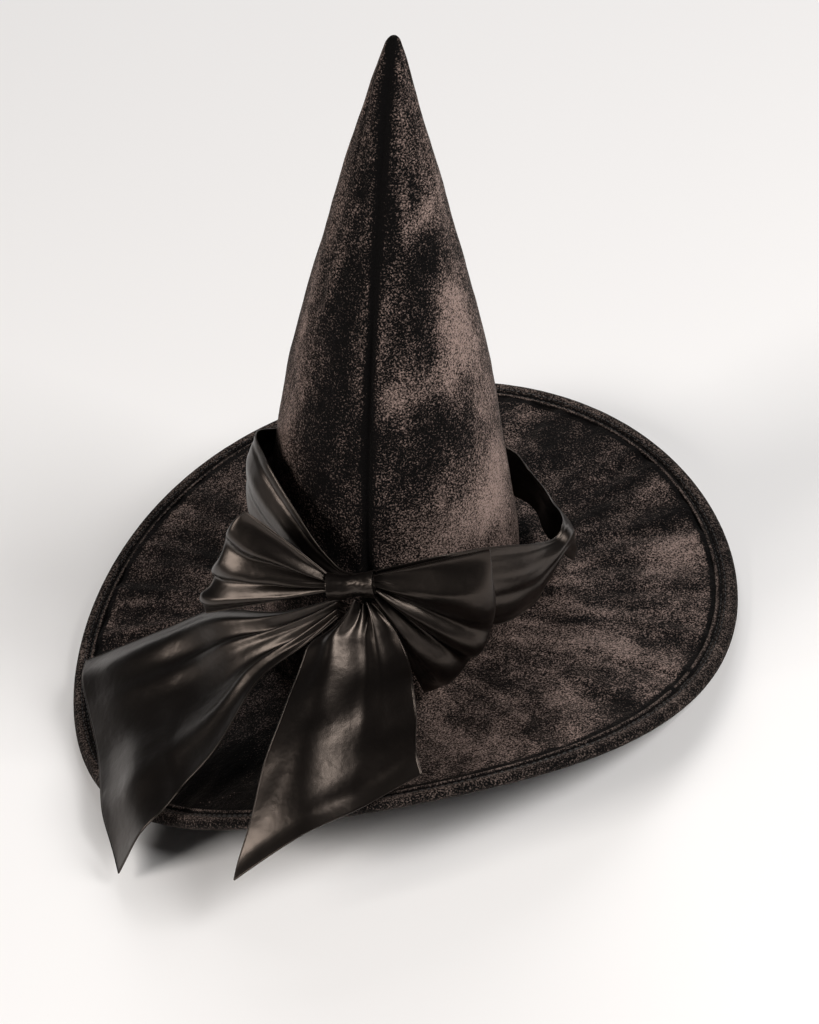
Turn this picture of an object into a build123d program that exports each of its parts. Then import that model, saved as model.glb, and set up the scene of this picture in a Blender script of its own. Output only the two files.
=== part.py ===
"""Pointed witch hat with a wide curled brim and a loosely tied satin bow.

Frame: millimetres, +Z up, origin at the centre of the head opening, in the
brim's mean plane. The centre-back seam and the bow face -Y.
"""
from math import atan2, cos, hypot, radians, sin, tan
import os

from build123d import *

# Brim: a flat ring that has taken a saddle curl and a slight ripple
BRIM_R = 230.0
SADDLE_RISE = 24.0  # the two sides dip and the back and front rise by this at the edge
SADDLE_TURN = 12.0  # degrees from +X to the lowest line of the saddle
RIPPLE_RISE = 7.0
RIPPLE_TURN = 39.0
BRIM_FOAM = 2.5
PLY_GAP = 0.1  # air between two plies of cloth
TACK_GAP = 0.3

# Cloths
VELVET = 1.2
CROWN_FOAM = 1.2
LINING = 0.4
SATIN_BAND = 2.0

# Edge of the brim
BINDING_W = 14.0
BINDING_T = 1.0
HOOP_W = 6.0
HOOP_T = 1.2
HOOP_BUTT_GAP = 1.0
SLEEVE_L = 24.0
SLEEVE_WALL = 0.4
HOOP_EASE = 0.12

# Crown: leaning cone with a swollen lower half and a blunt tip
CROWN_R = 86.5
CROWN_APEX = 431.0  # height at which the bare cone would close to a point
CROWN_TOP = 428.0
CROWN_SWELL = 0.754
CROWN_SWELL_LOW = 0.184
LEAN_X = 95.7
LEAN_Y = 7.9
LEAN_STRAIGHT = 0.77  # share of the lean that is straight; the rest bends
TIP_BLUNT = 3.0  # how much wider than the bare cone the tip is
SEAM_GAP = 0.4
SECTION_SHARES = (0.0, 0.1, 0.25, 0.4, 0.55, 0.7, 0.82, 0.92, 1.0)

# Sweatband inside the head opening
CROWN_WALL = VELVET + CROWN_FOAM + LINING + 2 * PLY_GAP
BAND_EASE = 4.0  # from the crown's lining to the band, which leans in at its top
BAND_T = 1.0
BAND_R = CROWN_R - CROWN_WALL - BAND_EASE - BAND_T
BAND_H = 18.0
BAND_DROP = 2.0

# Satin sash, a ring round the crown, tilted up at the left
SASH_EASE = 12.5  # from the foot of the crown to the sash
SASH_R = CROWN_R + SASH_EASE
SASH_W = 0.626 * SASH_R
SASH_X = 0.12 * SASH_R
SASH_TILT = 28.0
SASH_CLEAR = 7.4  # height of its lowest edge, at the right
SASH_Z = SASH_CLEAR + SASH_R * tan(radians(SASH_TILT))

# Bow
KNOT_L = 30.0
KNOT_D = 18.0
KNOT_GAP = 1.0  # from the sash to the knot
KNOT = Vector(15.5, -(SASH_R + KNOT_GAP + KNOT_D / 2), 111.0)
BARREL_RISE = 1.2  # how much the knot swells from its ends to its middle
WRAP_T = 3.0
ROOT_R = 6.0
ROOT_GAP = 2.6
ROOT_U = KNOT_L / 2 + ROOT_GAP + ROOT_R  # from the middle of the knot to the middle of a loop's root
LOOP_T = 12.0
LOOP_TURN_LEFT = 165.0  # direction of each loop seen from above, degrees from +X
LOOP_TURN_RIGHT = 6.0
TAIL_LEFT_ROOT = KNOT + Vector(-13.5, -5, -KNOT_D)
TAIL_RIGHT_ROOT = KNOT + Vector(4.5, -7, -KNOT_D)
# Two directions in which each tail crosses the brim's edge, and its clearance there
TAIL_LEFT_OVER_EDGE = ((190.0, 6.40), (235.0, 13.15))
TAIL_RIGHT_OVER_EDGE = ((250.0, 39.81), (272.0, 7.84))
TAIL_SPREAD = BRIM_R / 230  # the tails' outlines grow with the brim
TAIL_T = 2.4
TAIL_HANG = 0.014  # how fast a tail curves down past the brim's edge, per mm
THREAD_R = 0.6

REACH = 620.0  # larger than the hat, for cutting blocks


def brim_height(x, y):
    """Height of the brim's middle surface."""
    reach = hypot(x, y) / BRIM_R
    turn = atan2(y, x)
    saddle = -SADDLE_RISE * reach**2 * cos(2 * (turn - radians(SADDLE_TURN)))
    ripple = RIPPLE_RISE * reach**3 * cos(3 * (turn - radians(RIPPLE_TURN)))
    return saddle + ripple


def height_face(height, low, high, steps):
    """Smooth face over the rectangle from low to high, at the given height."""
    rows = []
    for i in range(steps + 1):
        x = low[0] + (high[0] - low[0]) * i / steps
        ys = [low[1] + (high[1] - low[1]) * j / steps for j in range(steps + 1)]
        rows.append([(x, y, height(x, y)) for y in ys])
    return Face.make_surface_from_array_of_points(rows, tol=0.01, min_deg=3, max_deg=3)


FACE_R = BRIM_R + 20  # half the side of the square face that the brim is cut from
BRIM_STEPS = 16
TAIL_STEPS = 28
BRIM_FACE = height_face(brim_height, (-FACE_R, -FACE_R), (FACE_R, FACE_R), BRIM_STEPS)


def brim_ply(inner_r, outer_r, bottom, thickness):
    """Ring of the curled brim from bottom to bottom + thickness above its middle."""
    with BuildPart(mode=Mode.PRIVATE) as ply:
        extrude(Pos(0, 0, bottom) * BRIM_FACE, amount=thickness, dir=(0, 0, 1))
        with BuildSketch(Plane.XY.offset(-REACH / 2)):
            Circle(outer_r)
            Circle(inner_r, mode=Mode.SUBTRACT)
        extrude(amount=REACH, mode=Mode.INTERSECT)
    return ply.part


def crown_centre(height):
    """Centre of the crown's level section at a height."""
    share = height / CROWN_APEX
    lean = LEAN_STRAIGHT * share + (1 - LEAN_STRAIGHT) * share**2
    return LEAN_X * lean, LEAN_Y * lean


def crown_radius(height):
    """Radius of the crown's outside at a height."""
    share = max(height, 0) / CROWN_APEX
    left = 1 - share
    swell = CROWN_SWELL * share * left + CROWN_SWELL_LOW * share * left * (1 - 2 * share)
    return CROWN_R * (left + swell) + TIP_BLUNT * share**12


# Height that the crown loses per mm of radius near its tip
TIP_SLOPE = CROWN_APEX / (CROWN_R * (1 + CROWN_SWELL - CROWN_SWELL_LOW))
BRIM_TOP = BRIM_FOAM / 2 + PLY_GAP + VELVET
CROWN_FOOT = -12.0  # the crown starts below the brim's top and is trimmed to it


def crown_cone(inset):
    """Solid leaning cone, inset from the crown's outside, its foot trimmed to the brim."""
    top = CROWN_TOP - inset * (TIP_SLOPE + 1)
    with BuildPart(mode=Mode.PRIVATE) as cone:
        for share in SECTION_SHARES:
            height = CROWN_FOOT + (top - CROWN_FOOT) * share
            centre = crown_centre(height)
            with BuildSketch(Plane.XY.offset(height)):
                with Locations(centre):
                    Circle(crown_radius(height) - inset)
        loft()
        extrude(Pos(0, 0, BRIM_TOP + PLY_GAP) * BRIM_FACE, amount=REACH, dir=(0, 0, -1), mode=Mode.SUBTRACT)
        if inset == 0:
            fillet(cone.faces().sort_by(Axis.Z)[-1].edges(), radius=TIP_BLUNT * 0.8)
    return cone.part


def crown_ply(inset, thickness):
    """Hollow ply of the crown."""
    with BuildPart(mode=Mode.PRIVATE) as ply:
        add(crown_cone(inset))
        add(crown_cone(inset + thickness), mode=Mode.SUBTRACT)
    return ply.part


def crown_half(side):
    """Block on one side of the crown's bent centre plane; side is -1 for left, 1 for right."""
    heights = [CROWN_FOOT + (CROWN_APEX - CROWN_FOOT) * step / 6 for step in range(7)]
    middle = [(crown_centre(height)[0] + side * SEAM_GAP / 2, height) for height in heights]
    far = side * REACH / 2
    with BuildPart(mode=Mode.PRIVATE) as half:
        with BuildSketch(Plane.XZ.offset(-REACH / 2)):
            with BuildLine():
                Spline(*middle)
                Polyline(middle[-1], (far, middle[-1][1]), (far, middle[0][1]), middle[0])
            make_face()
        extrude(amount=REACH)
    return half.part


def sash_plane(height):
    """Level of the tilted sash at a height along its own axis."""
    foot = Plane(origin=(SASH_X, 0, SASH_Z), z_dir=(sin(radians(SASH_TILT)), 0, cos(radians(SASH_TILT))))
    return foot.offset(height)


def tack_start(out):
    """Point inside the crown from which a tack runs out to the middle of the sash."""
    level = sash_plane(SASH_W / 2).origin
    x = level.X + out.X * SASH_R
    return Vector(crown_centre(level.Z)[0], 0, level.Z - (x - level.X) * tan(radians(SASH_TILT)))


def loop_plane(turn):
    """Upright plane through the knot, its x running out along a loop."""
    along = Vector(cos(radians(turn)), sin(radians(turn)), 0)
    return Plane(origin=KNOT, x_dir=along, z_dir=along.cross(Vector(0, 0, 1)))


def bow_loop(turn, top, belly, corner):
    """Flattened loop of ribbon that fans out from its root beside the knot."""
    with BuildPart(mode=Mode.PRIVATE) as loop:
        with BuildSketch(loop_plane(turn)):
            with BuildLine():
                Line((ROOT_U, ROOT_R), top)
                ThreePointArc(top, belly, corner)
                Line(corner, (ROOT_U, -ROOT_R))
                Line((ROOT_U, -ROOT_R), (ROOT_U, ROOT_R))
            make_face()
            with Locations((ROOT_U, 0)):
                Circle(ROOT_R)
        extrude(amount=LOOP_T / 2, both=True)
    return loop.part


def tail_slopes(root, over_edge):
    """Slopes of the plane through a tail's root and two points above the brim's edge."""
    (x1, y1, z1), (x2, y2, z2) = [
        (x - root.X, y - root.Y, brim_height(x, y) + clearance - root.Z)
        for turn, clearance in over_edge
        for x, y in [(BRIM_R * cos(radians(turn)), BRIM_R * sin(radians(turn)))]
    ]
    span = x1 * y2 - x2 * y1
    return (z1 * y2 - z2 * y1) / span, (x1 * z2 - x2 * z1) / span


def bow_tail(root, over_edge, offsets):
    """Thin tail of ribbon that slopes down from its root and curves over the brim's edge."""
    slope_x, slope_y = tail_slopes(root, over_edge)
    outline = [(root.X + TAIL_SPREAD * x, root.Y + TAIL_SPREAD * y) for x, y in offsets]

    def height(x, y):
        past_edge = max(0.0, hypot(x, y) - BRIM_R)
        return root.Z + slope_x * (x - root.X) + slope_y * (y - root.Y) - TAIL_HANG * past_edge**2

    xs = [point[0] for point in outline] + [root.X]
    ys = [point[1] for point in outline] + [root.Y]
    low = (min(xs) - 2 * ROOT_R, min(ys) - 2 * ROOT_R)
    high = (max(xs) + 2 * ROOT_R, max(ys) + 2 * ROOT_R)
    sheet = height_face(height, low, high, TAIL_STEPS)
    with BuildPart(mode=Mode.PRIVATE) as tail:
        extrude(Pos(0, 0, -TAIL_T / 2) * sheet, amount=TAIL_T, dir=(0, 0, 1))
        with BuildSketch(Plane.XY.offset(-REACH / 2)):
            with BuildLine():
                Polyline(*outline, close=True)
            make_face()
            with Locations((root.X, root.Y)):
                Circle(ROOT_R)
        extrude(amount=REACH, mode=Mode.INTERSECT)
    return tail.part


def save(piece, label):
    """Label a finished piece and write its file."""
    piece.label = label
    export_step(piece, f"parts/{label}.step")


os.makedirs("parts", exist_ok=True)

# Crown
with BuildPart() as crown_panel_left:
    add(crown_ply(0, VELVET))
    add(crown_half(-1), mode=Mode.INTERSECT)
save(crown_panel_left.part, "crown_panel_left")

with BuildPart() as crown_panel_right:
    add(crown_ply(0, VELVET))
    add(crown_half(1), mode=Mode.INTERSECT)
save(crown_panel_right.part, "crown_panel_right")

with BuildPart() as crown_interlining:
    add(crown_ply(VELVET + PLY_GAP, CROWN_FOAM))
save(crown_interlining.part, "crown_interlining")

with BuildPart() as crown_lining:
    add(crown_ply(VELVET + CROWN_FOAM + 2 * PLY_GAP, LINING))
save(crown_lining.part, "crown_lining")

# Brim
OPENING_R = CROWN_R - CROWN_WALL
EDGE_R = BRIM_R - BINDING_T - PLY_GAP
SLEEVE_R = EDGE_R - PLY_GAP - 2 * SLEEVE_WALL
HOOP_R = SLEEVE_R - SLEEVE_WALL - HOOP_EASE
FOAM_R = HOOP_R - HOOP_W - SLEEVE_WALL - 2 * HOOP_EASE

with BuildPart() as brim_top:
    add(brim_ply(OPENING_R, EDGE_R, BRIM_FOAM / 2 + PLY_GAP, VELVET))
save(brim_top.part, "brim_top")

with BuildPart() as brim_interlining:
    add(brim_ply(OPENING_R, FOAM_R, -BRIM_FOAM / 2, BRIM_FOAM))
save(brim_interlining.part, "brim_interlining")

with BuildPart() as brim_under:
    add(brim_ply(OPENING_R, EDGE_R, -BRIM_TOP, VELVET))
save(brim_under.part, "brim_under")

BOUND_TOP = BRIM_TOP + PLY_GAP  # inner face of the binding
EDGE_TOP = BOUND_TOP + BINDING_T
with BuildPart() as brim_edge_binding:
    add(brim_ply(BRIM_R - BINDING_W, BRIM_R, -EDGE_TOP, 2 * EDGE_TOP))
    add(brim_ply(OPENING_R, BRIM_R - BINDING_T, -BOUND_TOP, 2 * BOUND_TOP), mode=Mode.SUBTRACT)
save(brim_edge_binding.part, "brim_edge_binding")

with BuildPart() as brim_hoop:
    add(brim_ply(HOOP_R - HOOP_W, HOOP_R, -HOOP_T / 2, HOOP_T))
    with Locations((0, BRIM_R, 0)):
        Box(HOOP_BUTT_GAP, BRIM_R, REACH, mode=Mode.SUBTRACT)
save(brim_hoop.part, "brim_hoop")

BORE_IN, BORE_OUT = HOOP_R - HOOP_W - HOOP_EASE, HOOP_R + HOOP_EASE
BORE_H = HOOP_T + 2 * HOOP_EASE
SLEEVE_H = BORE_H + 2 * SLEEVE_WALL
with BuildPart() as brim_hoop_sleeve:
    add(brim_ply(BORE_IN - SLEEVE_WALL, BORE_OUT + SLEEVE_WALL, -SLEEVE_H / 2, SLEEVE_H))
    add(brim_ply(BORE_IN, BORE_OUT, -BORE_H / 2, BORE_H), mode=Mode.SUBTRACT)
    with Locations((0, BRIM_R, 0)):
        Box(SLEEVE_L, BRIM_R, REACH, mode=Mode.INTERSECT)
save(brim_hoop_sleeve.part, "brim_hoop_sleeve")

# Sweatband
with BuildPart() as sweatband:
    with BuildSketch(Plane.XY.offset(-BAND_DROP)):
        Circle(BAND_R + BAND_T)
        Circle(BAND_R, mode=Mode.SUBTRACT)
    extrude(amount=BAND_H + BAND_DROP)
save(sweatband.part, "sweatband")

# Sash and the thread tacks that hold it to the crown
with BuildPart() as sash:
    with BuildSketch(sash_plane(0)):
        Circle(SASH_R)
        Circle(SASH_R - SATIN_BAND, mode=Mode.SUBTRACT)
    extrude(amount=SASH_W)
save(sash.part, "sash")

with BuildPart() as sash_tacks:
    for turn in (90, 180, 270):
        out = Vector(cos(radians(turn)), sin(radians(turn)), 0)
        with BuildSketch(Plane(origin=tack_start(out), z_dir=out)):
            Circle(THREAD_R)
        extrude(amount=REACH / 2)
    with BuildSketch(sash_plane(-SASH_W)):
        Circle(SASH_R - SATIN_BAND - TACK_GAP)
    extrude(amount=3 * SASH_W, mode=Mode.INTERSECT)
    add(crown_cone(-TACK_GAP), mode=Mode.SUBTRACT)
save(sash_tacks.part, "sash_tacks")

# Bow: the wrap of the knot, the gathered ribbon inside it, two loops and two tails
KNOT_END_R = KNOT_D / 2 - BARREL_RISE
WRAP_R = KNOT_END_R - WRAP_T / 2
HALF_L = KNOT_L / 2
with BuildPart() as bow_knot:
    with BuildSketch(Plane(origin=KNOT, x_dir=(1, 0, 0), z_dir=(0, -1, 0))):
        with BuildLine():
            ThreePointArc((-HALF_L, KNOT_END_R), (0, KNOT_D / 2), (HALF_L, KNOT_END_R))
            Polyline((HALF_L, KNOT_END_R), (HALF_L, WRAP_R), (-HALF_L, WRAP_R), (-HALF_L, KNOT_END_R))
        make_face()
    revolve(axis=Axis(KNOT, (1, 0, 0)))
save(bow_knot.part, "bow_knot")

with BuildPart() as bow_core:
    with BuildSketch(Plane.YZ.offset(KNOT.X - HALF_L)):
        with Locations((KNOT.Y, KNOT.Z)):
            Circle(WRAP_R - PLY_GAP)
    extrude(amount=KNOT_L)
save(bow_core.part, "bow_core")

with BuildPart() as bow_tacks:
    for side in (-1, 1):
        start = KNOT + Vector(side * KNOT_L / 5, KNOT_D * 2, 0)
        with BuildSketch(Plane(origin=start, z_dir=(0, -1, 0))):
            Circle(THREAD_R)
    extrude(amount=KNOT_D * 2)
    with BuildSketch(sash_plane(-SASH_W)):
        Circle(SASH_R + TACK_GAP)
    extrude(amount=3 * SASH_W, mode=Mode.SUBTRACT)
    with BuildSketch(Plane.YZ.offset(KNOT.X - KNOT_L)):
        with Locations((KNOT.Y, KNOT.Z)):
            Circle(KNOT_D / 2 + TACK_GAP)
    extrude(amount=2 * KNOT_L, mode=Mode.SUBTRACT)
save(bow_tacks.part, "bow_tacks")

with BuildPart() as bow_loop_left:
    top, belly, corner = [(ROOT_U + out, up) for out, up in ((37.4, 52), (78.4, 14), (91.4, -38))]
    add(bow_loop(LOOP_TURN_LEFT, top, belly, corner))
save(bow_loop_left.part, "bow_loop_left")

with BuildPart() as bow_loop_right:
    top, belly, corner = [(ROOT_U + out, up) for out, up in ((65.4, 14), (55.4, -48), (3.4, -96))]
    add(bow_loop(LOOP_TURN_RIGHT, top, belly, corner))
save(bow_loop_right.part, "bow_loop_right")

# Outlines of the tails, as offsets from their roots
TAIL_LEFT = ((0, 6), (-215, 88), (-150, -103.5), (-107, -76), (-69, -28), (-20, -10), (0, -6))
with BuildPart() as bow_tail_left:
    add(bow_tail(TAIL_LEFT_ROOT, TAIL_LEFT_OVER_EDGE, TAIL_LEFT))
save(bow_tail_left.part, "bow_tail_left")

TAIL_RIGHT = ((-6, 0), (-38, -32), (-58, -100), (-77, -146), (40, -92.5), (33.5, -52), (24.5, -16.5), (6, 0))
with BuildPart() as bow_tail_right:
    add(bow_tail(TAIL_RIGHT_ROOT, TAIL_RIGHT_OVER_EDGE, TAIL_RIGHT))
save(bow_tail_right.part, "bow_tail_right")
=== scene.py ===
"""Looks of a child's pointed witch hat: crushed velvet crown and brim, satin sash and bow.

Everything is in metres in the part's own frame: +Z up, the origin at the centre of the
head opening, and the centre-back seam and the bow on the -Y side.
"""

import logging
import math
from bisect import bisect_right
from dataclasses import dataclass, field
from enum import Enum
from typing import Callable, Iterable, Sequence

import bmesh
import bpy
from mathutils import Matrix, Quaternion, Vector, noise

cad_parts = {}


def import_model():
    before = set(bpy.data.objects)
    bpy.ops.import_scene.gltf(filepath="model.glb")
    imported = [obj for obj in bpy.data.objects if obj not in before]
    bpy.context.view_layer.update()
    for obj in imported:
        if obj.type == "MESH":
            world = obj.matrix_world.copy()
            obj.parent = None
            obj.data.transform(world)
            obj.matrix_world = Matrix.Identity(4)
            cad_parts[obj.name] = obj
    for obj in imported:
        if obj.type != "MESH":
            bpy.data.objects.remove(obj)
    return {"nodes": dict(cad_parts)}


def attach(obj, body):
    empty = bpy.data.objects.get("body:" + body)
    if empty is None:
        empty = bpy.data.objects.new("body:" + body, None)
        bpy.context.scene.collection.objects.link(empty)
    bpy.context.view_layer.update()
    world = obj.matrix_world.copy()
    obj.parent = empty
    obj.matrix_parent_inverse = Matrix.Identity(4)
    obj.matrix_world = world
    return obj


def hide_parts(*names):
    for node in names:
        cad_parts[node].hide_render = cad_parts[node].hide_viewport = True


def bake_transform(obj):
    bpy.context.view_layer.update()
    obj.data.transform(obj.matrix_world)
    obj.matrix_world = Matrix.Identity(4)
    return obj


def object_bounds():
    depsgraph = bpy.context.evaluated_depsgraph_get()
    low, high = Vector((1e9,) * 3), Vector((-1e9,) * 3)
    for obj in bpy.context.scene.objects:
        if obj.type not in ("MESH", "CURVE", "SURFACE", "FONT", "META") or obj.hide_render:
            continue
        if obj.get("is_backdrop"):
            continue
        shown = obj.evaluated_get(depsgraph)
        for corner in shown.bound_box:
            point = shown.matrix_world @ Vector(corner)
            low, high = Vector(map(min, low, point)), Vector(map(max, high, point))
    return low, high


log = logging.getLogger("witch_hat")
MM = 0.001
TURN = 2 * math.pi
Line = Sequence[tuple[float, float, float]]  # points in millimetres


# ---------------------------------------------------------------- helpers


def linear(hex_colour: str) -> tuple[float, float, float, float]:
    """Turns an sRGB hex colour into linear RGBA.

    Args:
        hex_colour: six hex digits, such as "1a2b3c".

    Returns:
        Linear red, green, blue and an alpha of 1.
    """
    channels = [int(hex_colour[i : i + 2], 16) / 255 for i in (0, 2, 4)]
    scaled = [c / 12.92 if c <= 0.04045 else ((c + 0.055) / 1.055) ** 2.4 for c in channels]
    return scaled[0], scaled[1], scaled[2], 1.0


def add_node(
    tree: bpy.types.NodeTree,
    kind: str,
    values: dict | None = None,
    links: dict | None = None,
    **settings: object,
) -> bpy.types.Node:
    """Adds a shader node with its settings, socket values and links.

    Args:
        tree: the material's node tree.
        kind: Blender's node type.
        values: input socket name or index to its value.
        links: input socket name or index to the output socket that feeds it.
        **settings: the node's own properties.

    Returns:
        The new node.
    """
    node = tree.nodes.new(kind)
    for name, value in settings.items():
        setattr(node, name, value)
    for key, value in (values or {}).items():
        node.inputs[key].default_value = value
    for key, socket in (links or {}).items():
        tree.links.new(socket, node.inputs[key])
    return node


def blank_material(name: str) -> tuple[bpy.types.Material, bpy.types.NodeTree, bpy.types.NodeSocket]:
    """Starts a material: the material, its empty tree and its place on the piece."""
    made = bpy.data.materials.new(name)
    made.use_nodes = True
    made.node_tree.nodes.clear()
    return made, made.node_tree, add_node(made.node_tree, "ShaderNodeTexCoord").outputs["Object"]


def close_material(
    tree: bpy.types.NodeTree, values: dict, colour: bpy.types.NodeSocket, rough: bpy.types.NodeSocket,
    normal: bpy.types.NodeSocket,
) -> None:
    """Ends a material in its shader, with the values that are the same all over and the three patterns."""
    links = {"Base Color": colour, "Roughness": rough, "Normal": normal}
    shader = add_node(tree, "ShaderNodeBsdfPrincipled", values, links)
    add_node(tree, "ShaderNodeOutputMaterial", links={"Surface": shader.outputs[0]})


def smooth_step(low: float, high: float, value: float) -> float:
    """Smooth ramp from 0 at low to 1 at high."""
    share = min(max((value - low) / (high - low), 0.0), 1.0)
    return share * share * (3 - 2 * share)


def bell(value: float, centre: float, width: float) -> float:
    """Bell curve of height 1 round a centre."""
    return math.exp(-(((value - centre) / width) ** 2))


def rumple(x: float, y: float, z: float, octaves: int = 3) -> float:
    """Smooth noise from about -1 to 1."""
    return noise.fractal(Vector((x, y, z)), 0.9, 2.1, octaves)


def ring(turn: float, tight: float, level: float, octaves: int = 3) -> float:
    """Smooth noise that closes on itself round a circle."""
    return rumple(math.cos(turn) * tight, math.sin(turn) * tight, level, octaves)


class Path:
    """A smooth line through a few points in space, measured along its length."""

    STEPS = 24  # straight pieces between two points

    def __init__(self, points: Sequence[Sequence[float]], closed: bool = False) -> None:
        """Keeps the line in metres.

        Args:
            points: what it passes through, in millimetres.
            closed: whether it returns to where it began.
        """
        knots = [Vector(p) * MM for p in points]
        if closed:
            run = [knots[-1], *knots, knots[0], knots[1]]
        else:
            run = [2 * knots[0] - knots[1], *knots, 2 * knots[-1] - knots[-2]]
        self.line = [
            self._between(run[i : i + 4], step / self.STEPS)
            for i in range(len(run) - 3)
            for step in range(self.STEPS)
        ] + [run[-2]]
        self.reached = [0.0]
        for here, there in zip(self.line, self.line[1:]):
            self.reached.append(self.reached[-1] + (there - here).length)

    @property
    def length(self) -> float:
        """Length of the line."""
        return self.reached[-1]

    def at(self, share: float) -> Vector:
        """The point at a share of the length, from 0 to 1."""
        along = min(max(share, 0.0), 1.0) * self.length
        i = min(bisect_right(self.reached, along), len(self.line) - 1)
        step = self.reached[i] - self.reached[i - 1]
        return self.line[i - 1].lerp(self.line[i], (along - self.reached[i - 1]) / step if step else 0.0)

    @staticmethod
    def _between(around: Sequence[Vector], t: float) -> Vector:
        """The point at a share t between the middle two of four points."""
        a, b, c, d = around
        curve = (2 * a - 5 * b + 4 * c - d) * t * t + (3 * b - a - 3 * c + d) * t**3
        return 0.5 * (2 * b + (c - a) * t + curve)


def show(name: str, shape: bpy.types.Mesh | bpy.types.Curve, finish: bpy.types.Material) -> bpy.types.Object:
    """Gives a shape its only material and puts it in the scene, at the origin."""
    shape.materials.clear()
    shape.materials.append(finish)
    piece = bpy.data.objects.new(name, shape)
    bpy.context.scene.collection.objects.link(piece)
    return piece


def cords(name: str, radius: float, lines: Iterable[Sequence[Vector]], resolution: int) -> bpy.types.Curve:
    """Draws a round cord along each line of points.

    Args:
        name: the curve's name.
        radius: half the cords' thickness.
        lines: the points of each cord.
        resolution: how round they are.

    Returns:
        One curve with all the cords.
    """
    curve = bpy.data.curves.new(name, "CURVE")
    curve.dimensions = "3D"
    curve.bevel_depth = radius
    curve.bevel_resolution = resolution
    curve.use_fill_caps = True
    for line in lines:
        spline = curve.splines.new("POLY")
        spline.points.add(len(line) - 1)
        for knot, point in zip(spline.points, line):
            knot.co = (*point, 1.0)
    return curve


def set_on_hat(piece: bpy.types.Object, slot: str, *nodes: str) -> None:
    """Fixes a piece to the hat's own body, in place of the CAD nodes it stands for."""
    if nodes:
        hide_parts(*nodes)
    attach(piece, "hat")
    log.info("%s on the hat", piece.name)


def new_object(name: str, bm: bmesh.types.BMesh, finish: bpy.types.Material) -> bpy.types.Object:
    """Turns a bmesh into an object with a material.

    Args:
        name: the piece's name.
        bm: the shape, which is freed.
        finish: the material.

    Returns:
        The new object, at the origin, shaded smooth.
    """
    for face in bm.faces:
        face.smooth = True
    mesh = bpy.data.meshes.new(name)
    bm.to_mesh(mesh)
    bm.free()
    return show(name, mesh, finish)


def cloth_grid(
    across: int, along: int, place: Callable[[float, float], Vector], closed: bool = False
) -> bmesh.types.BMesh:
    """Bends a flat grid of cloth into shape.

    Args:
        across: faces across the cloth.
        along: faces along the cloth.
        place: the point for a share across and a share along, each from 0 to 1.
        closed: whether the edges that meet are sewn into one.

    Returns:
        The shaped bmesh, its UVs running across and along.
    """
    bm = bmesh.new()
    bm.loops.layers.uv.new("cloth")
    bmesh.ops.create_grid(bm, x_segments=across, y_segments=along, size=0.5, calc_uvs=True)
    for vert in bm.verts:
        vert.co = place(vert.co.x + 0.5, vert.co.y + 0.5)
    if closed:
        bmesh.ops.remove_doubles(bm, verts=bm.verts, dist=1e-6)
    bmesh.ops.recalc_face_normals(bm, faces=bm.faces)
    return bm


def thicken(piece: bpy.types.Object, thickness: float) -> None:
    """Gives a cloth its thickness, half on each side."""
    solid = piece.modifiers.new("thickness", "SOLIDIFY")
    solid.thickness = thickness
    solid.offset = 0.0


# ---------------------------------------------------------------- finishes


@dataclass(frozen=True)
class Velvet:
    """Crushed polyester velvet: a short dense pile that lies this way and that.

    The base colour is near-black, with grains and cloudy patches of painted highlight where the pile is
    taken to lean towards the light; a real sheen gives a pale haze where the cloth turns away.
    """

    name: str = "crushed_velvet"
    shade: str = "030202"
    # colour of the painted highlight on the pile
    lit: str = "937f77"
    haze: str = "b3a296"
    grain: float = 0.0011  # tufts of pile, as bumps and as grains of painted highlight, drawn about twice as coarse as real so that they show
    clump: float = 0.007
    grain_share: float = 5.0  # how much each thing decides where highlight is painted on the pile
    clump_share: float = 1.2
    painted_light_share: float = 0.55
    mean: float = -3.1
    dark_below: float = -0.25
    lit_above: float = 1.45

    def material(self) -> bpy.types.Material:
        """Builds the material."""
        made, tree, place = blank_material(self.name)
        grain = add_node(
            tree,
            "ShaderNodeTexNoise",
            {"Scale": 1 / self.grain, "Detail": 2.0, "Roughness": 0.65},
            {"Vector": place},
        ).outputs["Fac"]
        clump = add_node(
            tree,
            "ShaderNodeTexNoise",
            {"Scale": 1 / self.clump, "Detail": 4.0, "Roughness": 0.6, "Distortion": 0.8},
            {"Vector": place},
        ).outputs["Fac"]
        # the 'pile' attribute carries the painted highlight and painted shade set on each piece
        pile = add_node(tree, "ShaderNodeAttribute", attribute_name="pile").outputs["Fac"]
        # grains and cloudy clumps of painted highlight, added up with the attribute
        tufts = add_node(
            tree, "ShaderNodeMath", {1: self.grain_share, 2: self.mean}, {0: grain}, operation="MULTIPLY_ADD"
        ).outputs[0]
        patches = add_node(
            tree, "ShaderNodeMath", {1: self.clump_share}, {0: clump, 2: tufts}, operation="MULTIPLY_ADD"
        ).outputs[0]
        lean = add_node(
            tree, "ShaderNodeMath", {1: self.painted_light_share}, {0: pile, 2: patches}, operation="MULTIPLY_ADD"
        ).outputs[0]
        fac = add_node(
            tree,
            "ShaderNodeMapRange",
            {"From Min": self.dark_below, "From Max": self.lit_above},
            {"Value": lean},
            interpolation_type="SMOOTHSTEP",
        ).outputs[0]
        # painted highlight: the near-black base colour is mixed towards the lit colour
        shades = {6: linear(self.shade), 7: linear(self.lit)}
        colour = add_node(tree, "ShaderNodeMix", shades, {0: fac}, data_type="RGBA").outputs[2]
        matt = {"To Min": 0.85, "To Max": 0.5}
        rough = add_node(tree, "ShaderNodeMapRange", matt, {"Value": fac}).outputs[0]
        nap = add_node(
            tree, "ShaderNodeBump", {"Strength": 0.55, "Distance": 0.0009}, {"Height": grain}
        ).outputs["Normal"]
        crush = add_node(
            tree, "ShaderNodeBump", {"Strength": 0.5, "Distance": 0.003}, {"Height": clump, "Normal": nap}
        ).outputs["Normal"]
        values = {
            "Specular IOR Level": 0.09,
            "Sheen Weight": 0.08,
            "Sheen Roughness": 0.4,
            "Sheen Tint": linear(self.haze),
        }
        close_material(tree, values, colour, rough, crush)
        return made


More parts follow.
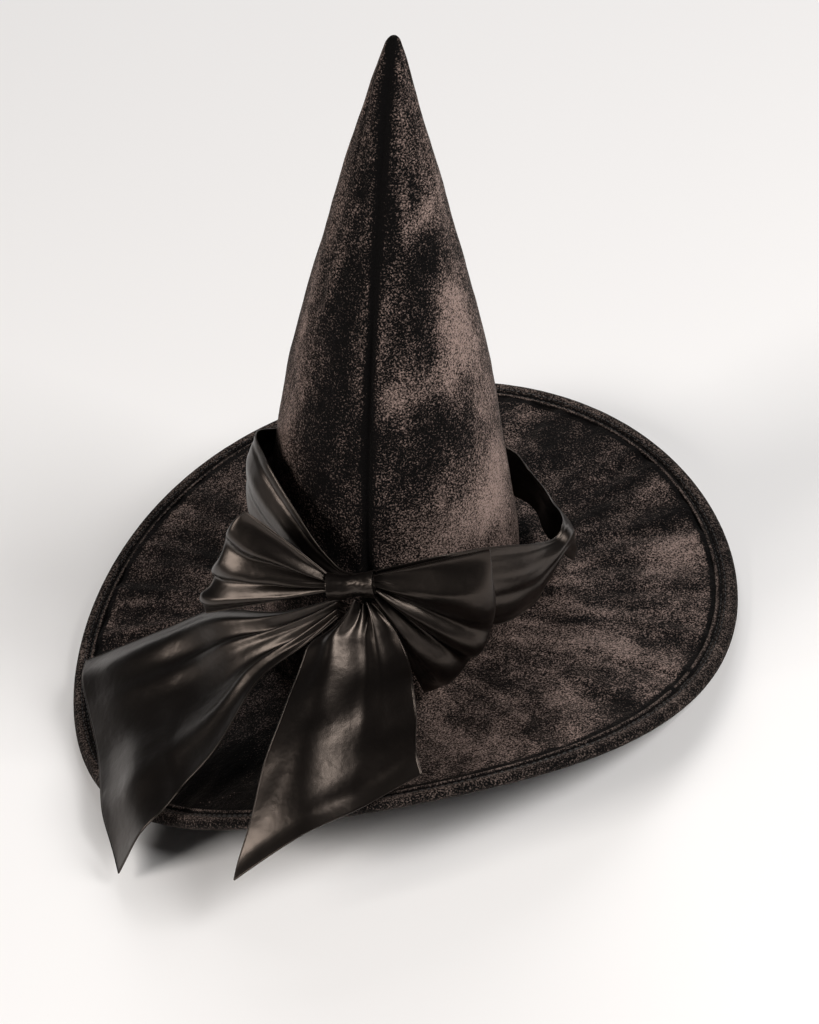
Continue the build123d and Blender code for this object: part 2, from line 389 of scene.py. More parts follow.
@dataclass(frozen=True)
class Satin:
    """Black polyester satin: long smooth floats that give broad warm highlights along each fold."""

    name: str = "satin"
    shade: str = "030303"
    warm: str = "070505"
    glint: str = "ffeadb"
    haze: str = "bba99c"
    weave: float = 0.0006  # warp threads, drawn coarser than real so that they show
    clouds: float = 45.0  # soft handling marks to the metre

    def material(self) -> bpy.types.Material:
        """Builds the material."""
        made, tree, place = blank_material(self.name)
        cloud = add_node(
            tree,
            "ShaderNodeTexNoise",
            {"Scale": self.clouds, "Detail": 3.0, "Roughness": 0.55},
            {"Vector": place},
        ).outputs["Fac"]
        thread = add_node(
            tree,
            "ShaderNodeTexNoise",
            {"Scale": 1 / self.weave, "Detail": 1.0, "Roughness": 0.5},
            {"Vector": place},
        ).outputs["Fac"]
        shades = {6: linear(self.shade), 7: linear(self.warm)}
        colour = add_node(tree, "ShaderNodeMix", shades, {0: thread}, data_type="RGBA").outputs[2]
        polish = {"To Min": 0.28, "To Max": 0.37}
        rough = add_node(tree, "ShaderNodeMapRange", polish, {"Value": cloud}).outputs[0]
        crimp = add_node(
            tree, "ShaderNodeBump", {"Strength": 0.12, "Distance": 0.0004}, {"Height": thread}
        ).outputs["Normal"]
        soft = add_node(
            tree, "ShaderNodeBump", {"Strength": 0.25, "Distance": 0.003}, {"Height": cloud, "Normal": crimp}
        ).outputs["Normal"]
        values = {
            "Specular IOR Level": 0.55,
            "Specular Tint": linear(self.glint),
            "Anisotropic": 0.2,
            "Sheen Weight": 0.015,
            "Sheen Roughness": 0.35,
            "Sheen Tint": linear(self.haze),
        }
        close_material(tree, values, colour, rough, soft)
        return made


class Weave(Enum):
    """How the plain cloths and trims of the hat are made."""

    LINING = "taffeta_lining"
    FOAM = "sew_in_foam"
    GROSGRAIN = "grosgrain_ribbon"
    THREAD = "polyester_thread"
    NYLON = "nylon_boning"
    STEEL = "steel_crimp"


@dataclass(frozen=True)
class Trim:
    """A plain cloth, thread, nylon or steel with its own grain."""

    weave: Weave
    shade: str
    lit: str
    scale: float  # size of the grain in metres
    roughness: float
    relief: float  # depth of the grain in metres
    metallic: float = 0.0
    band_radius: float = 0.0785  # where the grosgrain's ribs are counted

    def material(self) -> bpy.types.Material:
        """Builds the material."""
        made, tree, place = blank_material(self.weave.value)
        if self.weave is Weave.GROSGRAIN:
            split = add_node(tree, "ShaderNodeSeparateXYZ", links={0: place})
            turn = add_node(
                tree, "ShaderNodeMath", links={0: split.outputs[1], 1: split.outputs[0]}, operation="ARCTAN2"
            ).outputs[0]
            ribs = self.band_radius / self.scale
            phase = add_node(tree, "ShaderNodeMath", {1: ribs}, {0: turn}, operation="MULTIPLY").outputs[0]
            grain = add_node(tree, "ShaderNodeMath", links={0: phase}, operation="SINE").outputs[0]
        else:
            grain = add_node(
                tree, "ShaderNodeTexNoise", {"Scale": 1 / self.scale, "Detail": 3.0}, {"Vector": place}
            ).outputs["Fac"]
        shades = {6: linear(self.shade), 7: linear(self.lit)}
        colour = add_node(tree, "ShaderNodeMix", shades, {0: grain}, data_type="RGBA").outputs[2]
        relief = add_node(
            tree, "ShaderNodeBump", {"Strength": 0.6, "Distance": self.relief}, {"Height": grain}
        ).outputs["Normal"]
        polish = {"To Min": self.roughness + 0.08, "To Max": self.roughness - 0.08}
        rough = add_node(tree, "ShaderNodeMapRange", polish, {"Value": grain}).outputs[0]
        close_material(tree, {"Metallic": self.metallic}, colour, rough, relief)
        return made


# ---------------------------------------------------------------- painted highlight and shade on the pile


@dataclass(frozen=True)
class LightPatch:
    """A patch of painted highlight or painted shade on the velvet's pile, on the crown or on the brim."""

    turn: float  # degrees round the hat
    place: float  # millimetres up the crown, or out from the middle of the brim
    spread: float  # degrees
    length: float  # millimetres
    lean: float  # painted highlight if positive, painted shade if negative
    slant: float = 0.0  # degrees of turn per millimetre of place

    def at(self, turn: float, place: float) -> float:
        """Its painted highlight or shade at a turn in degrees and a place in millimetres."""
        offset = (turn - self.turn - self.slant * (place - self.place) + 180) % 360 - 180
        return self.lean * bell(offset, 0, self.spread) * bell(place, self.place, self.length)


# ---------------------------------------------------------------- brim


@dataclass
class Brim:
    """The wide curled brim: velvet above and below, foam and a hoop within, a bound edge."""

    velvet: bpy.types.Material
    edging: bpy.types.Material
    thread: bpy.types.Material
    radius: float = 0.230
    saddle: float = 0.024
    saddle_turn: float = math.radians(12)
    ripple: float = 0.007
    ripple_turn: float = math.radians(39)
    opening: float = 0.0815
    half_thickness: float = 0.0026
    velvet_thickness: float = 0.0011
    give: float = 0.0009  # how far the foam lets the velvet sink
    binding_width: float = 0.0148
    stitch_pitch: float = 0.0042
    stitch_length: float = 0.0031
    thread_radius: float = 0.00032
    # how strongly shade is painted in the grooves beside and within the binding
    painted_groove_shade: float = 3.0
    turned_edge: float = 0.0015  # how far in from the rim the two cloths end
    swell: tuple[float, float] = (0.0011, 0.055)  # height and width of the velvet's slow waves
    crease: tuple[float, float] = (0.0005, 0.018)  # and of its small creases
    pucker: float = 0.0020  # height of the ridges that run out to the edge
    pinch: float = 0.0006  # how far the stitching pulls the velvet in
    crimp: float = 0.00022
    patch: float = 0.035  # size of the cloudy patches of painted highlight and shade
    streaks: float = 7.0  # how closely the streaks of painted highlight lie round the brim
    cells_across: int = 60
    cells_round: int = 440
    steps_round: int = 480
    # patches of painted highlight and painted shade; the one at -114 degrees is the left tail's painted
    # shadow
    light_patches: tuple[LightPatch, ...] = (
        LightPatch(-62, 180, 22, 60, 0.45),
        LightPatch(-20, 150, 18, 40, 0.4),
        LightPatch(18, 195, 10, 25, 0.6),
        LightPatch(62, 190, 26, 70, -0.7),
        LightPatch(-114, 190, 22, 60, -1.0),
        LightPatch(160, 170, 30, 60, -0.2),
    )

    def height(self, x: float, y: float) -> float:
        """Height of the brim's middle surface."""
        reach = math.hypot(x, y) / self.radius
        turn = math.atan2(y, x)
        saddle = -self.saddle * reach**2 * math.cos(2 * (turn - self.saddle_turn))
        return saddle + self.ripple * reach**3 * math.cos(3 * (turn - self.ripple_turn))

    def wrinkle(self, turn: float, reach: float) -> float:
        """How far the velvet stands off its smooth surface.

        Args:
            turn: angle round the brim in radians.
            reach: distance from the hat's middle.

        Returns:
            The offset in metres.
        """
        x, y = reach * math.cos(turn), reach * math.sin(turn)
        share = (reach - self.opening) / (self.radius - self.opening)
        (tall, wide), (fine, narrow) = self.swell, self.crease
        swell = tall * rumple(x / wide, y / wide, 3.1)
        ridge = 1 - abs(ring(turn, 6.5, 8.7 + reach / 0.16, 2)) * 2.2
        pucker = self.pucker * max(ridge, -0.4) * smooth_step(0.1, 0.75, share)
        crease = fine * rumple(x / narrow + 3, y / narrow, 1.7, 2)
        fade = 1 - smooth_step(0.9, 0.97, share)
        offset = (swell + pucker + crease) * fade - self.pinch * smooth_step(0.88, 0.94, share)
        return offset if offset > 0 else self.give * math.tanh(offset / self.give)

    def painted_light(self, turn: float, reach: float) -> float:
        """How much highlight is painted on the pile, from about -1 to 1, less where shade is painted by the
        binding.
        """
        x, y = reach * math.cos(turn), reach * math.sin(turn)
        warp = 0.5 * rumple(x / 0.09, y / 0.09, 5.0)
        streak = ring(turn + 0.25 * warp, self.streaks, reach / 0.09 + warp, 4)
        cloud = rumple(x / self.patch + warp, y / self.patch, 9.0, 4)
        inner = self.radius - self.binding_width
        # painted shade in the groove where the velvet meets the binding
        edge = self.painted_groove_shade * smooth_step(inner - 0.004, inner, reach)
        patched_light = sum(light_patch.at(math.degrees(turn) + 12 * warp, reach / MM) for light_patch in self.light_patches)
        return 1.1 * streak + 0.7 * cloud + patched_light - 0.15 - edge

    def ply(self, name: str, side: int) -> bpy.types.Object:
        """Builds the upper or under cloth.

        Args:
            name: the piece's name.
            side: 1 for the upper cloth, -1 for the under cloth.

        Returns:
            The cloth.
        """
        outer = self.radius - self.turned_edge
        level = side * (self.half_thickness - self.velvet_thickness / 2)

        def place(across: float, along: float) -> Vector:
            """The cloth's point at a share across and a share along."""
            turn = TURN * along
            share = 1 - (1 - across) ** 1.5  # closer rings at the edge
            reach = self.opening + (outer - self.opening) * share
            x, y = reach * math.cos(turn), reach * math.sin(turn)
            return Vector((x, y, self.height(x, y) + level + side * self.wrinkle(side * turn, reach)))

        bm = cloth_grid(self.cells_across, self.cells_round, place, closed=True)
        # painted highlight and painted shade, carried in the 'pile' attribute
        layer = bm.verts.layers.float.new("pile")
        for vert in bm.verts:
            vert[layer] = self.painted_light(side * math.atan2(vert.co.y, vert.co.x), vert.co.xy.length)
        piece = new_object(name, bm, self.velvet)
        thicken(piece, self.velvet_thickness)
        return piece

    def binding(self) -> bpy.types.Object:
        """Builds the folded strip that binds the edge, with a corded ridge along its inner side."""
        outer, inner = self.radius, self.radius - self.binding_width
        section = [  # distance out in metres and height in millimetres
            (inner, 2.2), (inner + 0.0004, 3.8), (inner + 0.0014, 4.7), (inner + 0.0026, 4.4),
            (inner + 0.0034, 3.1), (inner + 0.0042, 2.7), (inner + 0.0050, 3.2), (inner + 0.0062, 4.4),
            (inner + 0.0072, 4.2), (inner + 0.0080, 4.5), (inner + 0.0100, 4.9), (inner + 0.0124, 4.2),
            (inner + 0.0140, 2.8), (outer, 0.6), (outer - 0.0004, -1.6), (outer - 0.0022, -3.3),
            (outer - 0.006, -3.9), (inner + 0.0035, -3.8), (inner + 0.0008, -3.3), (inner, -2.3),
        ]
        bm = bmesh.new()
        verts = [bm.verts.new((reach, 0.0, level * MM)) for reach, level in section]
        edges = [bm.edges.new(pair) for pair in zip(verts, verts[1:] + verts[:1])]
        bmesh.ops.spin(
            bm, geom=verts + edges, cent=(0, 0, 0), axis=(0, 0, 1), angle=TURN, steps=self.steps_round,
            use_merge=True,
        )
        layer = bm.verts.layers.float.new("pile")
        for vert in bm.verts:
            turn = math.atan2(vert.co.y, vert.co.x)
            crimp = self.crimp * ring(turn, 60, vert.co.z * 300, 2)
            vert.co.z += self.height(vert.co.x, vert.co.y) + crimp
            fall = (self.radius - vert.co.xy.length) / self.binding_width
            ridge = bell(fall, 0.88, 0.07) + 0.6 * bell(fall, 0.38, 0.16)
            hollow_shade = bell(fall, 0.72, 0.05) + bell(fall, 1.0, 0.03) + 0.4 * bell(fall, 0.51, 0.03)
            # painted highlight on the corded ridge and painted shade in the grooves beside it
            vert[layer] = 0.5 * ring(turn, 12, 2.0) + 1.2 * ridge - self.painted_groove_shade * hollow_shade - 0.3
        bmesh.ops.recalc_face_normals(bm, faces=bm.faces)
        piece = new_object("edge_binding", bm, self.edging)
        smooth = piece.modifiers.new("smooth", "SUBSURF")
        smooth.levels = smooth.render_levels = 1
        return piece

    def stitches(self) -> bpy.types.Object:
        """Builds the two rows of topstitching, one each side of the corded ridge."""
        inner = self.radius - self.binding_width
        lines = []
        for reach, level in ((inner + 0.0072, 0.0044), (inner + 0.0042, 0.0029)):
            count = round(TURN * reach / self.stitch_pitch)
            filled = self.stitch_length / self.stitch_pitch
            for i in range(count):
                line = []
                for share in (-0.5, 0.0, 0.5):
                    turn = TURN * (i + share * filled) / count
                    x, y = reach * math.cos(turn), reach * math.sin(turn)
                    sunk = self.thread_radius * 1.2 * abs(share) * 2
                    line.append(Vector((x, y, self.height(x, y) + level - sunk)))
                lines.append(line)
        name = "brim_topstitching"
        return show(name, cords(name, self.thread_radius, lines, resolution=1), self.thread)

    def build(self) -> None:
        """Builds the brim's pieces and sets them on the hat."""
        set_on_hat(self.ply("brim_upper_velvet", 1), "velvet", "brim_top")
        set_on_hat(self.ply("brim_under_velvet", -1), "velvet", "brim_under")
        set_on_hat(self.binding(), "velvet_binding", "brim_edge_binding")
        set_on_hat(self.stitches(), "thread")


# ---------------------------------------------------------------- crown


@dataclass
class Crown:
    """The leaning cone: two velvet gores, sewn down the centre back and the centre front."""

    velvet: bpy.types.Material
    brim: Brim
    radius: float = 0.0865
    apex: float = 0.431
    top: float = 0.428
    swell: float = 0.754
    swell_low: float = 0.184
    lean: tuple[float, float] = (0.0957, 0.0079)
    lean_straight: float = 0.77
    tip_blunt: float = 0.003
    tip_round: float = 0.0045
    loft: float = 0.0016  # how far the pile stands off the sewn cone
    lip: float = 0.0013
    groove_width: float = 0.0026
    # how strongly shade is painted in the seam's groove
    painted_seam_shade: float = 4.0
    velvet_thickness: float = 0.0011
    dent: float = 0.0013  # height of the soft dents
    wrinkle: float = 0.0004
    least_reach: float = 0.00008  # keeps the gores' points from crossing the middle
    cells_across: int = 110
    cells_along: int = 190
    # patches of painted highlight, most on the right side that faces the key light, and of painted shade
    light_patches: tuple[LightPatch, ...] = field(
        default=(
            LightPatch(-40, 318, 20, 10, 1.1, 1.0),
            LightPatch(-8, 300, 10, 55, 0.3),
            LightPatch(-40, 292, 20, 15, -1.4),
            LightPatch(-24, 252, 18, 30, 1.3, 0.1),
            LightPatch(-48, 214, 26, 12, 1.3, 0.4),
            LightPatch(-15, 200, 14, 60, 0.7),
            LightPatch(-62, 258, 14, 34, -0.9),
            LightPatch(-60, 172, 28, 24, -0.9),
            LightPatch(-16, 118, 17, 48, 1.3, 0.1),
            LightPatch(-46, 104, 25, 18, 0.8),
            LightPatch(-110, 220, 16, 170, -1.1),
            LightPatch(-150, 190, 20, 120, 0.5),
            LightPatch(-95, 310, 4, 60, 0.9),
            LightPatch(-74, 335, 12, 50, -0.8),
            LightPatch(60, 200, 30, 60, 0.8, 0.2),
            LightPatch(110, 120, 26, 40, -0.7),
            LightPatch(150, 260, 20, 50, 0.7),
        )
    )

    def centre(self, z: float) -> Vector:
        """Centre of the crown's level section at a height."""
        share = z / self.apex
        sway = self.lean_straight * share + (1 - self.lean_straight) * share**2
        return Vector((self.lean[0] * sway, self.lean[1] * sway, z))

    def girth(self, z: float) -> float:
        """Radius of the crown's outside at a height."""
        share = max(z, 0.0) / self.apex
        left = 1 - share
        swell = self.swell * share * left + self.swell_low * share * left * (1 - 2 * share)
        full = self.radius * (left + swell) + self.tip_blunt * share**12
        over = (z - (self.top - self.tip_round)) / self.tip_round
        return full * math.sqrt(max(1 - over * over, 0.0)) if over > 0 else full

    def from_seam(self, turn: float, z: float) -> float:
        """Distance round the crown from the nearer seam."""
        return self.girth(z) * math.asin(min(abs(math.cos(turn)), 1.0))

    def relief(self, turn: float, z: float) -> float:
        """How far the velvet stands off the cone: nothing in the seam, most on its lips, with soft dents."""
        from_seam = self.from_seam(turn, z)
        near_tip = smooth_step(0.0, 0.03, self.top - z)
        lips = self.lip * bell(from_seam, 0.0060, 0.0042) * near_tip
        x, y = math.cos(turn), math.sin(turn)
        dents = self.dent * rumple(x * 1.9, y * 1.9, z / 0.085, 2)
        wrinkles = self.wrinkle * rumple(x * 6 + 4, y * 6, z / 0.022, 2)
        loft = max(self.loft + dents + wrinkles, 0.0) * near_tip
        return (loft + lips) * (1 - bell(from_seam, 0.0, self.groove_width))

    def painted_light(self, turn: float, z: float) -> float:
        """How much highlight is painted on the pile, from about -1 to 1, less where shade is painted in the
        seam.
        """
        x, y = math.cos(turn), math.sin(turn)
        warp = 0.9 * rumple(x * 1.5, y * 1.5, z / 0.07)
        cloud = 0.75 * rumple(x * 3.4 + warp, y * 3.4, z / 0.04 + warp, 4)
        degrees = math.degrees(turn) + 8 * warp
        cloud += sum(light_patch.at(degrees, z / MM) for light_patch in self.light_patches)
        # painted shade in the seam's groove
        return cloud - self.painted_seam_shade * bell(self.from_seam(turn, z), 0.0, self.groove_width * 1.1)

    def gore(self, name: str, side: int) -> bpy.types.Object:
        """Builds one gore.

        Args:
            name: the piece's name.
            side: -1 for the left gore, 1 for the right.

        Returns:
            The gore.
        """

        def place(across: float, along: float) -> Vector:
            """The cloth's point at a share across and a share along."""
            share = across - 0.85 * math.sin(TURN * across) / TURN  # closer columns at the seams
            turn = -math.pi / 2 + side * math.pi * share
            x, y = self.radius * math.cos(turn), self.radius * math.sin(turn)
            foot = self.brim.height(x, y) + self.brim.half_thickness - 0.0006
            z = foot + (self.top - foot) * (1 - (1 - along) ** 1.15)
            reach = self.girth(z) + self.relief(turn, z) - self.velvet_thickness / 2
            flare = 0.0012 * bell(z - foot, 0.0, 0.004)
            out = Vector((math.cos(turn), math.sin(turn), 0))
            return self.centre(z) + out * max(reach + flare, self.least_reach)

        bm = cloth_grid(self.cells_across, self.cells_along, place)
        bmesh.ops.remove_doubles(bm, verts=bm.verts, dist=2e-5)
        # painted highlight and painted shade, carried in the 'pile' attribute
        layer = bm.verts.layers.float.new("pile")
        for vert in bm.verts:
            from_centre = vert.co - self.centre(vert.co.z)
            vert[layer] = self.painted_light(math.atan2(from_centre.y, from_centre.x), vert.co.z)
        piece = new_object(name, bm, self.velvet)
        thicken(piece, self.velvet_thickness)
        return piece

    def build(self) -> None:
        """Builds both gores and sets them on the hat."""
        set_on_hat(self.gore("left_gore", -1), "velvet", "crown_panel_left")
        set_on_hat(self.gore("right_gore", 1), "velvet", "crown_panel_right")


# ---------------------------------------------------------------- satin


@dataclass(frozen=True)
class Fold:
    """A fold that runs along a ribbon: a ridge if its heights are positive, a valley if not."""

    across: float  # where it starts, as a share of the ribbon's width
    across_end: float
    width: float  # share of the ribbon's width
    height: float  # millimetres at the gathered end
    height_end: float
    fade: float = 1.0  # how fast it passes from one height to the other

    def at(self, across: float, along: float) -> float:
        """Its height in metres at a share across and a share along."""
        middle = self.across + (self.across_end - self.across) * along
        tall = self.height + (self.height_end - self.height) * along**self.fade
        return tall * MM * bell(across, middle, self.width * (0.55 + 0.45 * along))


@dataclass(frozen=True)
class Roll:
    """A soft roll across a tail."""

    along: float  # share of the way down at its left end
    slant: float  # how much further down its right end is
    width: float
    height: float  # millimetres

    def at(self, across: float, along: float) -> float:
        """How far the cloth stands off there, in metres."""
        return self.height * MM * bell(along, self.along + self.slant * across, self.width)


@dataclass
class Bow:
    """The tied satin: a loose sash, the knot, two loops and two tails."""

    satin: bpy.types.Material
    thread: bpy.types.Material
    crown: Crown
    tack_radius: float = 0.0003
    tacked_at: tuple[float, ...] = (0.49, 0.57, 0.66)  # shares of the way round the sash
    knot: Vector = field(default_factory=lambda: Vector((0.0155, -0.109, 0.111)))
    ribbon_width: float = 0.098
    cloth: float = 0.0005
    hem_radius: float = 0.00055
    sash_belly: float = 0.006  # how far the cloths bulge and ripple, in metres
    sash_ripple: float = 0.0022
    loop_ripple: float = 0.0034
    tail_ripple: float = 0.0055
    loop_pleat: float = 0.0014  # depth of the pleats at the knot
    tail_pleat: float = 0.0020
    sash_cells: tuple[int, int] = (60, 420)  # faces across and along each cloth
    loop_cells: tuple[int, int] = (110, 150)
    tail_cells: tuple[int, int] = (110, 170)
    wrap_cells: tuple[int, int] = (56, 96)
    bend_from: float = 0.014  # the knot's own half length
    bend_to: float = 0.034

    def finish_cloth(
        self, piece: bpy.types.Object, body: str, node: str,
        hems: Sequence[bpy.types.Object] = (), neck: Sequence[Vector] = (),
    ) -> None:
        """Gives a satin piece its thickness and sets it and its hems on a body, or, with a neck, leaves them
        where they are.

        Args:
            piece: the cloth.
            body: the body it rides on, when it has no neck.
            node: the CAD node it stands for.
            hems: the hems along its edges.
            neck: where it would start and stop bending, if it crosses a joint; only whether it is given is
                read, and then the piece stays unattached.
        """
        thicken(piece, self.cloth)
        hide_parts(node)
        for part in (piece, *hems):
            if neck:
                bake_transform(part)
            else:
                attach(part, body)
        log.info("satin piece %s on %s", piece.name, body)

    def hem(self, name: str, edge: Callable[[float], Vector], steps: int) -> bpy.types.Object:
        """Rolls a narrow hem along an edge of cloth.

        Args:
            name: the piece's name.
            edge: the point at a share of the way along the edge.
            steps: straight pieces along it, as many as the cloth has faces there.

        Returns:
            The hem, a round cord of mesh.
        """
        line = [edge(i / steps) for i in range(steps + 1)]
        curve = cords(name, self.hem_radius, [line], resolution=2)
        shape = bpy.data.objects.new(name, curve)
        mesh = bpy.data.meshes.new_from_object(shape)
        bpy.data.objects.remove(shape)
        bpy.data.curves.remove(curve)
        mesh.shade_smooth()
        return show(name, mesh, self.satin)

    def sash(self) -> None:
        """Builds the band that stands loosely round the crown and is gathered behind the knot."""
        upper = Path(
            [
                (15, -101, 114), (44, -98, 115), (72, -88, 113), (98, -65, 98), (116, -45, 82),
                (127, -26, 69), (131, -10, 69), (116, 36, 51), (97, 64, 56), (84, 66, 76), (36, 80, 90),
                (-12, 62, 118), (-34, 24, 144), (-41, -4, 160), (-47, -27, 175), (-41, -43, 171),
                (-33, -58, 165), (-16, -80, 144), (0, -95, 124),
            ],
            closed=True,
        )
        lower = Path(
            [
                (15, -102, 105), (42, -101, 84), (66, -94, 66), (90, -77, 44), (108, -54, 38),
                (119, -42, 46), (129, -19, 52), (122, 20, 14), (100, 60, 8), (84, 84, 14), (36, 98, 30),
                (-14, 92, 56), (-50, 60, 84), (-64, 10, 104), (-63, -32, 118), (-54, -58, 108),
                (-40, -75, 103), (-20, -92, 100), (0, -100, 102),
            ],
            closed=True,
        )
        folds = (
            Fold(0.16, 0.16, 0.12, 1.6, 1.6), Fold(0.42, 0.42, 0.12, -1.8, -1.8),
            Fold(0.68, 0.68, 0.14, 1.8, 1.8), Fold(0.90, 0.90, 0.05, -1.0, -1.0),
        )

        def place(across: float, along: float) -> Vector:
            """The cloth's point at a share across and a share along."""
            low, high = lower.at(along), upper.at(along)
            point = low.lerp(high, across)
            out = Vector((point.x - 0.02, point.y, 0)).normalized()
            from_knot = min(along, 1 - along)
            gather = 0.35 + 0.9 * math.exp(-from_knot * 9)
            belly = self.sash_belly * math.sin(math.pi * across) * smooth_step(0.02, 0.15, from_knot)
            relief = sum(fold.at(across, from_knot) for fold in folds) * gather
            ripple = self.sash_ripple * rumple(along * 14, across * 1.6, 6.0, 2)
            return point + out * (belly + relief + ripple * smooth_step(0.0, 0.1, from_knot))

        piece = new_object("satin_sash", cloth_grid(*self.sash_cells, place, closed=True), self.satin)
        hems = [
            self.hem("sash_upper_hem", lambda share: place(1.0, share), self.sash_cells[1]),
            self.hem("sash_lower_hem", lambda share: place(0.0, share), self.sash_cells[1]),
        ]
        self.finish_cloth(piece, "hat", "sash", hems)
        self.tacks([place(0.5, share) for share in self.tacked_at])

    def tacks(self, ends: Sequence[Vector]) -> None:
        """Builds the thread tacks that hold the sash to the crown.

        Args:
            ends: where on the sash they end.
        """
        bm = bmesh.new()
        for end in ends:
            axis = self.crown.centre(end.z)
            out = (end - axis).normalized()
            start = axis + out * (self.crown.girth(end.z) - 0.001)
            turned = out.to_track_quat("Z", "Y").to_matrix().to_4x4()
            bmesh.ops.create_cone(
                bm, cap_ends=True, segments=8, radius1=self.tack_radius, radius2=self.tack_radius,
                depth=max((end - start).length, 0.001), matrix=Matrix.Translation((start + end) / 2) @ turned,
            )
        set_on_hat(new_object("sash_thread_tacks", bm, self.thread), "thread", "sash_tacks")

    def loop(
        self, name: str, node: str, body: str, turn: float, outline: Sequence[tuple[float, float]],
        folds: Sequence[Fold], puff: float, seed: float,
    ) -> None:
        """Builds a loop: ribbon that leaves the knot, folds back at the far end and returns behind itself.

        Args:
            name: the piece's name.
            node: the CAD node it stands for.
            body: the body named for it, only logged, since its neck leaves it unattached.
            turn: direction of the loop seen from above, in degrees from +X.
            outline: far end of the loop from its upper to its lower edge, as distance out and height, in
                millimetres.
            folds: folds that run out from the knot.
            puff: how far the front stands off the back, in metres.
            seed: place in the noise.
        """
        out = Vector((math.cos(math.radians(turn)), math.sin(math.radians(turn)), 0))
        up = Vector((0, 0, 1))
        front = Vector((0, -1, 0))
        front = (front - front.project(out)).normalized()
        edge = Path([(a, b, 0) for a, b in outline])

        def place(across: float, along: float) -> Vector:
            """The cloth's point at a share across and a share along."""
            far = edge.at(across)
            start = Vector((0.011, (0.5 - across) * 0.009, 0))
            reach = math.sin(math.pi * along)
            flat = start.lerp(far, reach**0.9)
            inside = smooth_step(0.0, 0.22, across) * smooth_step(0.0, 0.16, 1 - across)
            gap = puff * math.cos(math.pi * along) * reach**0.7 * (0.08 + 0.92 * inside)
            relief = sum(fold.at(across, reach) for fold in folds) * (0.25 + 0.75 * inside)
            pleats = self.loop_pleat * math.sin(across * 34 + seed) * (1 - reach) ** 3
            soft = self.loop_ripple * rumple(across * 2.6, reach * 1.7 + along * 0.6, seed, 2)
            soft *= reach * (0.3 + 0.7 * inside)
            soft += 0.0003 * rumple(across * 7, along * 7, seed, 2) * reach
            side = 1.0 if along < 0.5 else 0.75
            return self.knot + out * flat.x + up * flat.y + front * (gap + side * (relief + pleats + soft))

        across, along = self.loop_cells
        piece = new_object(name, cloth_grid(across, along, place), self.satin)
        hems = [
            self.hem(f"{name}_upper_hem", lambda share: place(0.0, share), along),
            self.hem(f"{name}_lower_hem", lambda share: place(1.0, share), along),
            self.hem(f"{name}_end_crease", lambda share: place(share, 0.5), across),
        ]
        neck = (self.knot + out * self.bend_from, self.knot + out * self.bend_to)
        self.finish_cloth(piece, body, node, hems, neck)

    def tail(
        self, name: str, node: str, body: str, left: Line, right: Line, folds: Sequence[Fold],
        rolls: Sequence[Roll], seed: float, end_sag: float,
    ) -> None:
        """Builds a tail that leaves the knot gathered and ends in a slanting cut.

        Args:
            name: the piece's name.
            node: the CAD node it stands for.
            body: the body named for it, only logged, since its neck leaves it unattached.
            left: points along its left edge, in millimetres.
            right: points along its right edge.
            folds: folds that run down from the knot.
            rolls: soft rolls across it.
            seed: place in the noise.
            end_sag: how far the middle of the cut end bows, in metres.
        """
        left_edge, right_edge = Path(left), Path(right)
        a, b, c = left_edge.at(0), left_edge.at(1), right_edge.at(1)
        normal = (c - a).cross(b - a).normalized()
        if normal.z < 0:
            normal.negate()

        def place(across: float, along: float) -> Vector:
            """The cloth's point at a share across and a share along."""
            point = left_edge.at(along).lerp(right_edge.at(along), across)
            relief = sum(fold.at(across, along) for fold in folds)
            pleats = self.tail_pleat * math.sin(across * 26 + seed) * (1 - along) ** 7
            soft = self.tail_ripple * (0.5 + rumple(across * 1.5, along * 2.4, seed, 2))
            soft *= smooth_step(0.05, 0.4, along)
            roll = sum(one.at(across, along) for one in rolls)
            cup = end_sag * math.sin(math.pi * across) * along
            return point + normal * (relief + pleats + soft + roll + cup)

        across, along = self.tail_cells
        piece = new_object(name, cloth_grid(across, along, place), self.satin)
        hems = [
            self.hem(f"{name}_left_hem", lambda share: place(0.0, share), along),
            self.hem(f"{name}_right_hem", lambda share: place(1.0, share), along),
            self.hem(f"{name}_end_hem", lambda share: place(share, 1.0), across),
        ]
        root = (left_edge.at(0) + right_edge.at(0)) / 2
        down = ((left_edge.at(1) + right_edge.at(1)) / 2 - root).normalized()
        neck = (root, root + down * self.bend_to)
        self.finish_cloth(piece, body, node, hems, neck)

    def knot_wrap(self) -> None:
        """Builds the strip that is wrapped round the gathered ribbon, waisted, with folds round it."""
        half, waist, flare, depth = 0.0150, 0.0070, 0.0020, 0.95  # in metres, and depth as a share

        def place(across: float, along: float) -> Vector:
            """The cloth's point at a share across and a share along."""
            x = (across * 2 - 1) * half
            turn = TURN * along
            girth = waist + flare * abs(across * 2 - 1) ** 2.2
            girth += 0.0003 * math.sin(across * 9 + 1.5 * math.sin(turn))
            girth += 0.0005 * ring(turn, 1.2, across * 3)
            return self.knot + Vector((x, girth * depth * math.cos(turn), girth * math.sin(turn)))

        piece = new_object("knot_wrap", cloth_grid(*self.wrap_cells, place, closed=True), self.satin)
        self.finish_cloth(piece, "hat", "bow_knot")

